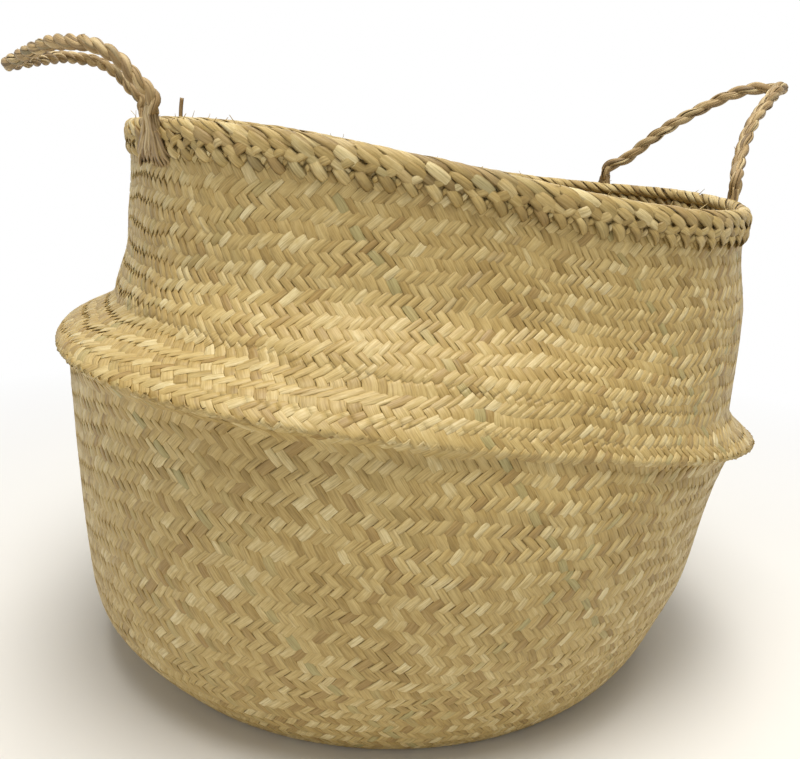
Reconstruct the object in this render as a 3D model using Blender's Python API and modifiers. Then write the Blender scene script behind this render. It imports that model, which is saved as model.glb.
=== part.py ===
"""A belly basket of plaited seagrass, with its upper half pushed down into a collar.

The weave runs in one piece from the floor to the rim. Its stretches are separate solids
here: the floor, the belly up to its ridge, the shoulder that turns over when the collar
is pushed down, and the collar with its plaited border. Two rope handles, each of two
twisted plies, swing between feet that are tucked into the border.

The origin is the middle of the floor's underside. +X is to the right, +Y to the back.
"""

import math

import bmesh
import bpy
import numpy as np
from mathutils import Vector

# Driving dimensions, in metres
BELLY_RADIUS = 0.200        # middle of the belly to the ridge
RIM_HEIGHT = 0.291          # floor to the top of the rim, at its middle
FLOOR_RADIUS = 0.140        # flat disc that the basket stands on
FLOOR_THICKNESS = 0.003
WALL = 0.003                # two layers of flat straw
GAP = 0.0003                # between pieces that touch

# Border: a roll of straw ends over a flat plait
ROLL_DIAMETER = 0.0086
PLAIT_HEIGHT = 0.0086
PLAIT_THICKNESS = 0.0080
PLAIT_ROUND = 0.0022
BORDER_PROUD = 0.0024       # how far the border stands out from the wall

# Partings of the wall, where it is of middling width: they close up where it is narrow
SEAM_GAP = 0.0007
SEAM_RUN = 0.0008           # each side runs straight this far, so that the edges face

# Heel: where the floor turns up into the wall
HEEL_FLAT = 0.006
HEEL_HEIGHT = 0.0055

# Rope handles
ROPE_DIAMETER = 0.0088
ROPE_LAY = 0.026            # length of one turn of the twist
AXIS_RISE = 0.0045          # swing axis above the rim's top
ROPE_STEM = 0.0040          # the rope leaves its foot straight up and untwisted, this far
LEFT_SPREAD = 0.160         # between the places of the left handle's feet on the rim
LEFT_REACH = 0.0685         # how far its loop's tip stands out from its feet
LEFT_RISE = 0.0232          # how high its loop climbs before it droops
RIGHT_SPREAD = 0.1340
RIGHT_REACH = 0.0860
RIGHT_RISE = 0.0590

# Handle feet: the rope's ends, opened up and tucked through the border
FOOT_LENGTH = 0.029
FOOT_THICKNESS = 0.0052
FOOT_HEM_THICKNESS = 0.0024
FOOT_HEM_WIDTH = 0.0175
FOOT_SEAT = 0.0006          # between a foot's flat back and the round border

# A straw end that was left standing on the rim
STRAW_DIAMETER = 0.0020
STRAW_HEIGHT = 0.012
STRAW_LEAN = 0.0012

# Counts
SIDES_AROUND = 60
STEPS_BETWEEN_LEVELS = 2
POINTS_A_TURN = 7
POINTS_ON_LOOP = 600        # of the rope's middle line, which the plies are read from

# Directions round the basket, in degrees from the right, towards the back
LEFT_HANDLE_TURN = 196.4
RIGHT_HANDLE_TURN = 21.3
STRAW_TURN = 155.0
SQUARE_TURN = 58.0          # one of the four soft corners
OVAL_TURN = 45.0
WAVE_TURN = 10.0            # a crest of the rim's three waves

# The wall's levels above the heel. Along is a share of the way from the floor's edge to
# the rim, up a share of the rim's height, and the rest are shares of the belly's radius:
# half width, half depth, shift to the right, shift to the back, dip of the right side,
# rise of the front, and how squared, oval, three-lobed and wavy the level is.
LEVEL_SHARES = (
    (0.156, 0.117, 0.875, 0.860, -0.017, 0.000, 0.000, 0.000, 0.000, 0.000, 0.000, 0.000),
    (0.288, 0.254, 0.920, 0.933, 0.002, 0.000, 0.022, 0.000, 0.000, 0.000, 0.000, 0.000),
    (0.420, 0.398, 0.942, 0.956, 0.012, 0.000, 0.070, 0.000, 0.000, 0.000, 0.000, 0.000),
    (0.505, 0.492, 0.964, 0.948, 0.025, 0.000, 0.095, 0.020, 0.005, 0.005, 0.000, 0.000),
    (0.556, 0.550, 0.988, 0.954, 0.036, 0.009, 0.126, 0.050, 0.014, 0.015, 0.010, 0.000),
    (0.578, 0.566, 1.020, 0.985, 0.040, 0.010, 0.145, 0.065, 0.024, 0.022, 0.023, 0.000),
    (0.590, 0.577, 1.012, 0.976, 0.040, 0.010, 0.145, 0.065, 0.023, 0.022, 0.020, 0.000),
    (0.666, 0.636, 0.906, 0.896, 0.090, 0.010, 0.143, 0.065, 0.018, 0.012, 0.000, 0.000),
    (0.807, 0.793, 0.908, 0.822, 0.097, 0.045, 0.100, 0.000, 0.034, 0.000, 0.000, 0.008),
    (0.932, 0.926, 0.890, 0.797, 0.094, 0.045, 0.106, -0.006, 0.034, 0.000, 0.000, 0.020),
    (1.000, 1.000, 0.890, 0.797, 0.094, 0.045, 0.106, -0.006, 0.034, 0.000, 0.000, 0.020),
)
HEEL_ALONG_SHARES = (0.0, 0.019, 0.048)
HEEL_SIDE_SHARE = 0.770     # the heel's radius, as a share of the belly's

# Where the wall is parted, as shares of the way along it
FOLD_SHARE = 0.604          # just inside the ridge
FOOT_SHARE = 0.667          # just outside the collar's foot
WALL_LENGTH_SHARE = 1.09    # the way along the wall, as a share of the rim's height

# Each handle's loop from foot to tip: shares of half the spread, the reach and the rise
LEFT_LOOP_SHARES = (
    (1.00, 0.00, 0.00), (0.99, 0.10, 0.33), (0.97, 0.24, 0.77), (0.89, 0.42, 0.98),
    (0.74, 0.60, 1.00), (0.51, 0.76, 0.90), (0.26, 0.88, 0.78), (0.00, 1.00, 0.65),
)
RIGHT_LOOP_SHARES = (
    (1.00, 0.00, 0.00), (0.84, 0.11, 0.16), (0.69, 0.24, 0.39), (0.54, 0.40, 0.61),
    (0.41, 0.58, 0.79), (0.29, 0.74, 0.93), (0.15, 0.88, 1.00), (0.00, 1.00, 0.99),
)

UP = Vector((0.0, 0.0, 1.0))

STRAW_COLOUR = "C9B884"
ROPE_COLOUR = "B79C68"


def linear_colour(code):
    """An sRGB hex colour as a linear RGBA."""
    parts = [int(code[i:i + 2], 16) / 255 for i in (0, 2, 4)]
    return [c / 12.92 if c <= 0.04045 else ((c + 0.055) / 1.055) ** 2.4 for c in parts] + [1.0]


def straw_material(name, code, roughness):
    """Dry seagrass: matt, with a faint gloss on the flat straws."""
    material = bpy.data.materials.new(name)
    material.use_nodes = True
    shader = material.node_tree.nodes["Principled BSDF"]
    shader.inputs["Base Color"].default_value = linear_colour(code)
    shader.inputs["Roughness"].default_value = roughness
    shader.inputs["Metallic"].default_value = 0.0
    return material


def smooth_between(at, knots, values):
    """A smooth curve through values at knots that never swings past them."""
    step = np.diff(knots)[:, None]
    slope = np.diff(values, axis=0) / step
    before, after = slope[:-1], slope[1:]
    same_way = before * after > 0
    total = np.where(same_way, before + after, 1.0)
    middle = np.where(same_way, 2 * before * after / total, 0.0)
    tangent = np.concatenate([slope[:1], middle, slope[-1:]])
    span = np.clip(np.searchsorted(knots, at, side="right") - 1, 0, len(step) - 1)
    width = step[span]
    t = (np.asarray(at) - knots[span])[:, None] / width
    start, end = values[span], values[span + 1]
    return (start * (1 + 2 * t) * (1 - t) ** 2 + end * t ** 2 * (3 - 2 * t)
            + width * (tangent[span] * t * (1 - t) ** 2 - tangent[span + 1] * t ** 2 * (1 - t)))


def wall_levels():
    """The levels with real sizes: along, then height, half width, half depth and the rest."""
    plain = [0.0] * 9
    heel_radius = HEEL_SIDE_SHARE * BELLY_RADIUS
    radii = (FLOOR_RADIUS, FLOOR_RADIUS + HEEL_FLAT, heel_radius)
    heights = (0.0, 0.0, HEEL_HEIGHT)
    rows = [[along, height, radius, radius] + plain[1:]
            for along, height, radius in zip(HEEL_ALONG_SHARES, heights, radii)]
    for along, up, wide, deep, right, back, dip, rise, *ripple in LEVEL_SHARES:
        sizes = [BELLY_RADIUS * share for share in (wide, deep, right, back, dip, rise)]
        square, oval, lobe, wave = ripple
        rows.append([along, RIM_HEIGHT * up] + sizes + [square, oval, lobe, BELLY_RADIUS * wave])
    return np.array(rows)


LEVELS = wall_levels()


def wall_points(along, angle, inset=0.0, lift=0.0):
    """Points on the wall's outer surface, drawn in by inset and raised by lift."""
    along, angle = np.broadcast_arrays(np.atleast_1d(along), np.atleast_1d(angle))
    level = smooth_between(along, LEVELS[:, 0], LEVELS[:, 1:]).T
    height, wide, deep, right, back, dip, rise, square, oval, lobe, wave = level
    swell = (1 + square * np.cos(4 * (angle - math.radians(SQUARE_TURN)))
             + oval * np.cos(2 * (angle - math.radians(OVAL_TURN))) + lobe * np.cos(3 * angle))
    x = right + (wide * swell - inset) * np.cos(angle)
    y = back + (deep * swell - inset) * np.sin(angle)
    z = height - dip * np.cos(angle) - rise * np.sin(angle)
    z = z + wave * np.cos(3 * (angle - math.radians(WAVE_TURN))) + lift
    return np.stack([x, y, z], axis=-1)


def even_angles():
    """The angles of the wall's uprights."""
    return np.arange(SIDES_AROUND) * 2 * math.pi / SIDES_AROUND


def along_share(length):
    """A length measured up the wall, as a share of the way along it."""
    return length / (WALL_LENGTH_SHARE * RIM_HEIGHT)


def stations(start, end):
    """Shares along the wall from start to end, with a few steps between its levels."""
    run = along_share(SEAM_RUN)
    first, last = start + run, end - run
    marks = [first] + [k for k in LEVELS[:, 0] if first + run < k < last - run] + [last]
    shares = [start]
    for low, high in zip(marks, marks[1:]):
        shares += list(np.linspace(low, high, STEPS_BETWEEN_LEVELS, endpoint=False))
    return shares + [last, end]


def empty(name, place, parent=None):
    """An axis or a carrier for other pieces."""
    carrier = bpy.data.objects.new(name, None)
    carrier.location = place
    carrier.parent = parent
    model.objects.link(carrier)
    return carrier


def finish(piece, material, parent):
    """Give a piece its material and hang it on its carrier, at its modelled place."""
    piece.data.materials.append(material)
    piece.parent = parent
    if parent is not None:
        piece.matrix_parent_inverse = world_place(parent)
    model.objects.link(piece)
    return piece


def world_place(carrier):
    """The inverse of a carrier's place, its own carriers included."""
    place = carrier.matrix_basis.copy()
    while carrier.parent is not None:
        carrier = carrier.parent
        place = carrier.matrix_basis @ place
    return place.inverted()


def ring_skin(name, rings):
    """An open skin lofted over closed rings of points, its faces pointing out."""
    mesh = bmesh.new()
    rows = [[mesh.verts.new(point) for point in ring] for ring in rings]
    for lower, upper in zip(rows, rows[1:]):
        count = len(lower)
        for i in range(count):
            j = (i + 1) % count
            mesh.faces.new((lower[i], lower[j], upper[j], upper[i]))
    data = bpy.data.meshes.new(name)
    mesh.to_mesh(data)
    mesh.free()
    data.shade_smooth()
    return bpy.data.objects.new(name, data)


def thicken(piece, thickness):
    """Turn an open skin into a shell, inwards from its outer face."""
    shell = piece.modifiers.new("wall", "SOLIDIFY")
    shell.thickness = thickness
    shell.offset = -1.0
    shell.use_even_offset = True
    return piece


def woven_wall(name, start, end, parent):
    """A stretch of the plaited wall between two shares along it."""
    angles = even_angles()
    rings = [wall_points(share, angles) for share in stations(start, end)]
    return finish(thicken(ring_skin(name, rings), WALL), straw, parent)


def floor_disc(parent):
    """The woven floor, a flat disc inside the heel."""
    mesh = bmesh.new()
    bmesh.ops.create_cone(mesh, cap_ends=True, segments=SIDES_AROUND, radius1=FLOOR_RADIUS - GAP,
                          radius2=FLOOR_RADIUS - GAP, depth=FLOOR_THICKNESS)
    data = bpy.data.meshes.new("base")
    mesh.to_mesh(data)
    mesh.free()
    disc = bpy.data.objects.new("base", data)
    disc.location = (0.0, 0.0, FLOOR_THICKNESS / 2)
    return finish(disc, straw, parent)


def tube(name, points, radius, closed=False, taper=None):
    """A round tube along points, with filled caps, and a radius that may vary."""
    data = bpy.data.curves.new(name, "CURVE")
    data.dimensions = "3D"
    data.bevel_depth = radius
    data.bevel_resolution = 1
    data.use_fill_caps = True
    spline = data.splines.new("POLY")
    spline.points.add(len(points) - 1)
    for i, point in enumerate(points):
        spline.points[i].co = (*point, 1.0)
        spline.points[i].radius = 1.0 if taper is None else taper[i]
    spline.use_cyclic_u = closed
    spline.use_smooth = True
    return bpy.data.objects.new(name, data)


def rim_roll(parent):
    """The roll of straw ends that closes the rim's top edge."""
    radius = ROLL_DIAMETER / 2
    centre = wall_points(1.0, even_angles(), radius - BORDER_PROUD, -radius)
    roll = tube("rim_roll", centre, radius, closed=True)
    roll.data.bevel_resolution = 2
    return finish(roll, straw, parent)


def rim_plait(parent):
    """The flat plait under the roll, a band with rounded edges."""
    angles = even_angles()
    drops = (ROLL_DIAMETER + GAP + PLAIT_HEIGHT, ROLL_DIAMETER + GAP)
    rings = [wall_points(1.0, angles, -BORDER_PROUD, -drop) for drop in drops]
    band = thicken(ring_skin("rim_plait", rings), PLAIT_THICKNESS)
    edge = band.modifiers.new("rounded edges", "BEVEL")
    edge.width = PLAIT_ROUND
    edge.segments = 1
    edge.limit_method = "ANGLE"
    return finish(band, straw, parent)


def collar_top_share():
    """The share along the wall where the collar meets the plait's underside."""
    border = ROLL_DIAMETER + 2 * GAP + PLAIT_HEIGHT
    shares = np.linspace(FOOT_SHARE, 1.0, 400)
    heights = smooth_between(shares, LEVELS[:, 0], LEVELS[:, 1:])[:, 0]
    return float(np.interp(RIM_HEIGHT - border, heights, shares))


def rim_spot(angle, stand_off=0.0):
    """A point on the rim's top edge, stood off level, with the ways along the rim and out."""
    before, spot, after = (Vector(wall_points(1.0, angle + step)[0]) for step in (-0.01, 0.0, 0.01))
    way = (after - before).normalized()
    out = way.cross(UP).normalized()
    return spot + out * stand_off, way, out


def handle_feet(turn, spread):
    """The angles of a handle's two feet, whose places on the rim stand spread apart."""
    middle = math.radians(turn)
    opening = math.asin(spread / 2 / BELLY_RADIUS)
    for _ in range(8):
        first, second = rim_spot(middle - opening)[0], rim_spot(middle + opening)[0]
        opening *= spread / (second - first).length
    return middle - opening, middle + opening


def axis_spot(angle):
    """Where a handle's rope leaves its foot, on the swing axis."""
    stand_off = BORDER_PROUD + FOOT_SEAT + FOOT_THICKNESS / 2
    return rim_spot(angle, stand_off)[0] + UP * AXIS_RISE


def handle_frame(turn, spread):
    """A handle's middle, the ways along its feet, out and up, and half its axis's length."""
    first, second = (axis_spot(angle) for angle in handle_feet(turn, spread))
    across = (second - first).normalized()
    out = across.cross(UP).normalized()
    return (first + second) / 2, across, out, across.cross(out) * -1, (second - first).length / 2


def loop_path(turn, spread, reach, rise, loop_table):
    """Close-set points along the middle of a handle's rope, from foot to foot."""
    middle, across, out, up, half = handle_frame(turn, spread)
    to_tip = np.array(loop_table)
    from_tip = to_tip[-2::-1] * (-1, 1, 1)
    loop = np.concatenate([to_tip, from_tip]) * (-half, reach, rise) + (0.0, 0.0, ROPE_STEM)
    table = np.concatenate([[(-half, 0.0, 0.0)], loop, [(half, 0.0, 0.0)]])
    lengths = np.linalg.norm(np.diff(table, axis=0), axis=1)
    knots = np.concatenate([[0.0], np.cumsum(lengths)]) / lengths.sum()
    fine = smooth_between(np.linspace(0.0, 1.0, POINTS_ON_LOOP), knots, table)
    return [middle + across * side + out * away + up * climb for side, away, climb in fine]


def carried_frames(path, across):
    """A frame that travels along the path without twisting: point, side and lift."""
    frames = []
    side = across.copy()
    for i, point in enumerate(path):
        ahead = (path[min(i + 1, len(path) - 1)] - path[max(i - 1, 0)]).normalized()
        side = (side - ahead * side.dot(ahead)).normalized()
        frames.append((point, side.copy(), ahead.cross(side), ahead))
    return frames


def rope_section():
    """How far a ply's middle lies from the rope's, and its radius, with a gap between the two."""
    drawn_in = math.cos(math.pi / POINTS_A_TURN)
    swing_out = ROPE_DIAMETER / 2 / (1 + drawn_in)
    return swing_out, swing_out * drawn_in - GAP / 2


def rope_plies(name, path, parent):
    """The two plies of a handle, twisted round the loop's path."""
    across = (path[-1] - path[0]).normalized()
    frames = carried_frames(path, across)
    run = np.concatenate([[0.0], np.cumsum([(b - a).length for a, b in zip(path, path[1:])])])
    last_side = frames[-1][1]
    drift = math.atan2(across.dot(frames[-1][2]), across.dot(last_side))
    twisted = run[-1] - 2 * ROPE_STEM
    turns = max(1, round(twisted / ROPE_LAY))
    whole = math.pi * 2 * turns + drift
    swing_out, radius = rope_section()
    shares = np.linspace(0.0, 1.0, turns * POINTS_A_TURN + 1)
    reaches = [0.0, *(ROPE_STEM + twisted * shares), run[-1]]
    twists = [0.0, *(whole * shares), whole]
    for label, phase in (("a", 0.0), ("b", math.pi)):
        points = []
        for reach, twist in zip(reaches, twists):
            i = int(np.clip(np.searchsorted(run, reach), 0, len(path) - 1))
            point, side, lift, _ = frames[i]
            angle = phase + twist
            points.append(point + (side * math.cos(angle) + lift * math.sin(angle)) * swing_out)
        points, taper = round_ends(points, radius)
        finish(tube(f"{name}_ply_{label}", points, radius, taper=taper), rope, parent)


def round_ends(points, radius):
    """Add a half ball at both ends of a tube: its points, and their shares of the radius."""
    first = (points[0] - points[1]).normalized()
    last = (points[-1] - points[-2]).normalized()
    ball = [(math.sin(a), math.cos(a)) for a in (math.radians(40), math.radians(68), math.radians(86))]
    head = [points[0] + first * (radius * step) for step, _ in reversed(ball)]
    tail = [points[-1] + last * (radius * step) for step, _ in ball]
    caps = [width for _, width in ball]
    return head + points + tail, caps[::-1] + [1.0] * len(points) + caps


def oval_loft(name, sections):
    """A closed solid over oval sections: centre, half width vector and half depth vector."""
    count = 10
    mesh = bmesh.new()
    rows = []
    for centre, wide, deep in sections:
        turns = [2 * math.pi * k / count for k in range(count)]
        rows.append([mesh.verts.new(centre + wide * math.cos(a) + deep * math.sin(a)) for a in turns])
    for upper, lower in zip(rows, rows[1:]):
        for i in range(count):
            j = (i + 1) % count
            mesh.faces.new((upper[i], lower[i], lower[j], upper[j]))
    mesh.faces.new(rows[0])
    mesh.faces.new(list(reversed(rows[-1])))
    bmesh.ops.recalc_face_normals(mesh, faces=mesh.faces)
    data = bpy.data.meshes.new(name)
    mesh.to_mesh(data)
    mesh.free()
    data.shade_smooth()
    data.set_sharp_from_angle(angle=math.radians(50))
    return bpy.data.objects.new(name, data)


def handle_foot(name, angle, parent):
    """A rope end, opened up and pressed flat down the outside of the border."""
    _, way, out = rim_spot(angle)
    top = axis_spot(angle)
    ball_room = rope_section()[1] + GAP
    sections = []
    for share in (0.0, 0.12, 0.3, 0.5, 0.72, 0.9, 1.0):
        spread = share ** 1.5
        width = ROPE_DIAMETER + (FOOT_HEM_WIDTH - ROPE_DIAMETER) * spread
        depth = FOOT_THICKNESS + (FOOT_HEM_THICKNESS - FOOT_THICKNESS) * spread
        drop = ball_room + (FOOT_LENGTH - ball_room) * share
        inward = (FOOT_THICKNESS - depth) / 2
        centre = top - UP * drop - out * inward
        sections.append((centre, way * (width / 2), out * (depth / 2)))
    return finish(oval_loft(name, sections), rope, parent)


def handle(side, turn, spread, path, parent):
    """A rope handle on its swing axis, with its two feet on the collar."""
    axis = empty(f"{side}_handle_axis", handle_frame(turn, spread)[0], parent)
    rope_plies(f"{side}_handle", path, axis)
    angles = sorted(handle_feet(turn, spread), key=math.sin)
    for label, angle in zip(("front", "rear"), angles):
        handle_foot(f"{side}_handle_foot_{label}", angle, parent)


def straw_end(parent):
    """A straw end that stands up from the roll, leaning a little."""
    radius = STRAW_DIAMETER / 2
    angle = math.radians(STRAW_TURN)
    root = Vector(wall_points(1.0, angle, ROLL_DIAMETER / 2 - BORDER_PROUD, GAP)[0])
    points = [root + Vector((STRAW_LEAN * share ** 2, 0.0, STRAW_HEIGHT * share))
              for share in (0.0, 0.35, 0.7, 1.0)]
    return finish(tube("straw_end", points, radius), straw, parent)


for old in list(bpy.data.objects):
    bpy.data.objects.remove(old, do_unlink=True)

model = bpy.data.collections.new("belly_basket")
bpy.context.scene.collection.children.link(model)
straw = straw_material("seagrass_straw", STRAW_COLOUR, 0.7)
rope = straw_material("seagrass_rope", ROPE_COLOUR, 0.8)

floor_disc(None)
woven_wall("belly_wall", 0.0, FOLD_SHARE, None)
woven_wall("shoulder", FOLD_SHARE + along_share(SEAM_GAP), FOOT_SHARE - along_share(SEAM_GAP), None)

collar = empty("collar_fold", wall_points(FOOT_SHARE, even_angles()).mean(axis=0))
woven_wall("collar_wall", FOOT_SHARE, collar_top_share(), collar)
rim_plait(collar)
rim_roll(collar)
straw_end(collar)
left_loop = loop_path(LEFT_HANDLE_TURN, LEFT_SPREAD, LEFT_REACH, LEFT_RISE, LEFT_LOOP_SHARES)
handle("left", LEFT_HANDLE_TURN, LEFT_SPREAD, left_loop, collar)
right_loop = loop_path(RIGHT_HANDLE_TURN, RIGHT_SPREAD, RIGHT_REACH, RIGHT_RISE, RIGHT_LOOP_SHARES)
handle("right", RIGHT_HANDLE_TURN, RIGHT_SPREAD, right_loop, collar)
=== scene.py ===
"""The looks of the belly basket: plaited seagrass, built straw by straw on the CAD wall.

Every straw is a closed ribbon of its own. The wall is a two-over, two-under diagonal plait
that follows the same surface as the CAD wall, the rim is wrapped and laced with leaves of
straw, and each handle is a rope of two plies, which are bundles of straws.
"""

import math
from collections import namedtuple

import bpy
import numpy as np
from mathutils import Matrix, Vector


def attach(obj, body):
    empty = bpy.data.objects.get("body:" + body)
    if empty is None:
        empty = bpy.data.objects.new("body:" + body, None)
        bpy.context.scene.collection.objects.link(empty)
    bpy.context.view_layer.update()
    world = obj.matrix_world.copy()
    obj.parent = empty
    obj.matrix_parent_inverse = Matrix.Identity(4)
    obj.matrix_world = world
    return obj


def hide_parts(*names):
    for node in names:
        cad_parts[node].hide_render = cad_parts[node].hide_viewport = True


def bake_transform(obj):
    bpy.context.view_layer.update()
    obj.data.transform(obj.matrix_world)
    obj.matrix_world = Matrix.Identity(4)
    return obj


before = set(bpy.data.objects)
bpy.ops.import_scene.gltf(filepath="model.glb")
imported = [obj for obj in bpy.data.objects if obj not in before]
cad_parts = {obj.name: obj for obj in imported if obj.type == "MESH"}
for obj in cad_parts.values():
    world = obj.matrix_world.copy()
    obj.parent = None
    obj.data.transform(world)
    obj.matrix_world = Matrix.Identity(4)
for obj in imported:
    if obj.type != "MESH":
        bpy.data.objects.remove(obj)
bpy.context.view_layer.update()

SEED = 11
MM = 0.001

# The wall's surface, as in the part's source
BELLY_RADIUS = 0.200
RIM_HEIGHT = 0.291
FLOOR_RADIUS = 0.140
WALL = 0.003
HEEL_FLAT = 0.006
HEEL_HEIGHT = 0.0055
HEEL_SIDE_SHARE = 0.770
HEEL_ALONG_SHARES = (0.0, 0.019, 0.048)
FOLD_SHARE = 0.604
FOOT_SHARE = 0.667
RIDGE_DIP = 0.145           # the ridge's own slopes, down to the right and to the back
RIDGE_RISE = 0.065
SQUARE_TURN = 58.0
OVAL_TURN = 45.0
WAVE_TURN = 10.0
LEVEL_SHARES = (
    (0.156, 0.117, 0.875, 0.860, -0.017, 0.000, 0.000, 0.000, 0.000, 0.000, 0.000, 0.000),
    (0.288, 0.254, 0.920, 0.933, 0.002, 0.000, 0.022, 0.000, 0.000, 0.000, 0.000, 0.000),
    (0.420, 0.398, 0.942, 0.956, 0.012, 0.000, 0.070, 0.000, 0.000, 0.000, 0.000, 0.000),
    (0.505, 0.492, 0.964, 0.948, 0.025, 0.000, 0.095, 0.020, 0.005, 0.005, 0.000, 0.000),
    (0.556, 0.550, 0.988, 0.954, 0.036, 0.009, 0.126, 0.050, 0.014, 0.015, 0.010, 0.000),
    (0.578, 0.566, 1.020, 0.985, 0.040, 0.010, 0.145, 0.065, 0.024, 0.022, 0.023, 0.000),
    (0.590, 0.577, 1.012, 0.976, 0.040, 0.010, 0.145, 0.065, 0.023, 0.022, 0.020, 0.000),
    (0.666, 0.636, 0.906, 0.896, 0.090, 0.010, 0.143, 0.065, 0.018, 0.012, 0.000, 0.000),
    (0.807, 0.793, 0.908, 0.822, 0.097, 0.045, 0.100, 0.000, 0.034, 0.000, 0.000, 0.008),
    (0.932, 0.926, 0.890, 0.797, 0.094, 0.045, 0.106, -0.006, 0.034, 0.000, 0.000, 0.020),
    (1.000, 1.000, 0.890, 0.797, 0.094, 0.045, 0.106, -0.006, 0.034, 0.000, 0.000, 0.020),
)

# Border and handles, as in the part's source
ROLL_DIAMETER = 0.0086
BORDER_PROUD = 0.0024
AXIS_RISE = 0.0045
ROPE_STEM = 0.0040
FOOT_LENGTH = 0.029
FOOT_THICKNESS = 0.0052
FOOT_HEM_WIDTH = 0.0175
FOOT_SEAT = 0.0006
STRAW_HEIGHT = 0.012
STRAW_LEAN = 0.0012
STRAW_TURN = 155.0
Handle = namedtuple("Handle", "side turn spread reach rise shares")
HANDLES = (
    Handle("left", 196.4, 0.160, 0.0685, 0.0232, (
        (1.00, 0.00, 0.00), (0.99, 0.10, 0.33), (0.97, 0.24, 0.77), (0.89, 0.42, 0.98),
        (0.74, 0.60, 1.00), (0.51, 0.76, 0.90), (0.26, 0.88, 0.78), (0.00, 1.00, 0.65),
    )),
    Handle("right", 21.3, 0.134, 0.0860, 0.0590, (
        (1.00, 0.00, 0.00), (0.84, 0.11, 0.16), (0.69, 0.24, 0.39), (0.54, 0.40, 0.61),
        (0.41, 0.58, 0.79), (0.29, 0.74, 0.93), (0.15, 0.88, 1.00), (0.00, 1.00, 0.99),
    )),
)

# The plait: straws of each direction, and crossings from the floor's edge to the rim
STRAWS_AROUND = 236
ROWS_TO_RIM = 114
WALL_SAMPLES = 2 * ROWS_TO_RIM + 1
ROW_EASE = 0.06             # how much taller than even the lowest rows are, and the top ones shorter
BELLY_LEAN_SHARE = 0.50     # how far a straw of the first direction goes round in a crossing
COLLAR_LEAN_SHARE = 0.56
LEAN_CHANGE_START = 0.45    # the rows in which the lean changes, as shares of all
LEAN_CHANGE_SPAN = 0.25
CROWD_SHARE = 0.11          # how much narrower the straws are on the basket's tight thirds
CROWD_TURN = 238.0
STRAW_COVER = 1.08          # a straw's width, as a share of its room
LEDGE_COVER = 0.10          # how much wider it is where the ridge bends and would open the plait
LEDGE_REACH = 0.08          # how far along the wall that goes to each side
STRAW_HALF_DEPTH = 0.00028
WALL_END_SHARE = 0.986      # where the wall's straws end, inside the roll
WEAVE_HEIGHT = 0.00032      # from the middle of the weave to a straw that lies over
WEAVE_DEPTH = 0.00070       # of the weave's middle, inside the wall's outer surface
WIDTH_RANGE = (0.66, 1.34)  # from the narrowest straw to the broadest, as shares of the mean
END_HAIR = 0.004            # the length in crossings that a straw keeps past its end
CLIMB_ANGLES = 181          # the fineness of the table by which the rows climb the wall
CLIMB_STEPS = 601

# Where hand work leaves the plait uneven
WANDER_WAVES = 3            # a straw's slow changes are sums of this many waves
WANDER_PACES = (0.6, 1.5)
BOW_WANDER = 0.25           # how much the bow, the tilt and the width change along a straw
TILT_WANDER = 0.05
WIDTH_WANDER = 0.06
RUCK_TURN = 204.0           # where the collar is rucked and its straws bow out
RUCK_SPREAD = 30.0
RUCK_RELIEF = 1.5
RUCK_EASE = 0.03            # how far above the fold they do so in full
DRIFT = 0.09                # how far each slow wave moves the straws from an even plait, in crossings
DRIFT_WAVE_COUNT = 6
DRIFT_CYCLES = (4, 26)      # a slow wave's cycles round the basket, and its length in rows
DRIFT_ROWS = (9, 32)
DRIFT_EASE_ROWS = 5         # the rows at both ends in which the waves don't lift the plait in full

# The floor's plait
FLOOR_PITCH = 0.0046
FLOOR_RAISE = 0.00015       # of the weave's middle above the middle of the CAD floor
FLOOR_STRAW_SHARE = 0.47    # a floor straw's half width, as a share of the pitch

# A straw's section in shares of its half width and half depth: flat in the wall, rounder elsewhere
FLAT_SECTION = ((-1.0, -0.2), (-0.84, 1.0), (0.84, 1.0), (1.0, -0.2), (0.0, -1.0))
LEAF_SECTION = ((-1.0, 0.0), (-0.55, 0.85), (0.0, 1.0), (0.55, 0.85), (1.0, 0.0), (0.0, -0.9))

# The straws' tone goes from 0 for deep to 1 for pale, and their kind from -1 for green to 1 for brown
# The wall's two directions differ in tone as painted sheen: straws rising to the right are painted
# paler, as if they catch the light, and those rising to the left deeper, as painted shade. The
# floor's straws share the paler tone.
PALE_AND_SHEEN_TONE = 0.58            # of the floor and of the wall's straws that rise to the right
DEEP_NO_SHEEN_TONE = 0.40            # of those that rise to the left
CORE_TONE = 0.25
CORE_KIND = 0.2
TONE_SPREAD = 0.12
TONE_WANDER = 0.16
KIND_SPREAD = 0.22
KIND_WANDER = 0.4
ODD_KIND = 0.9              # of the few straws that are all brown or all green
BROWN_CHANCE = 0.06
GREEN_CHANCE = 0.04
LEAF_TONE_SPREAD = 0.2      # among the border's leaves and the ropes' straws
LEAF_KIND_SPREAD = 0.35

# The border: how many leaves of each row stand round the rim, and the leaves over the roll
RIM_SAMPLES = 1441
BAND_LEAVES = 108
ROLL_LEAVES = 120
ROLL_CORE_SAMPLES = 361
ROLL_CORE_INSET = 1.3 * MM  # the core and the leaves' middles, inside the CAD roll's surface
ROLL_LEAF_INSET = 0.6 * MM
ROLL_ARC = (-75, 235)       # a leaf's two ends, in degrees up round the roll from outside
ROLL_LEAF_LAYS = (0.042, 0.054)
ROLL_LEAF_HALF_WIDTHS = (0.0020, 0.0027)
ROLL_LEAF_HALF_DEPTH = 0.0007
ROLL_STRAYS = 26
LEAF_TAPER = 2.6            # the power by which a leaf narrows towards its ends
STRAW_ROOT = 2 * MM         # how deep inside the roll the standing straw end starts
STRAW_FACING = (0.25, -1.0, 0.0)

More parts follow.
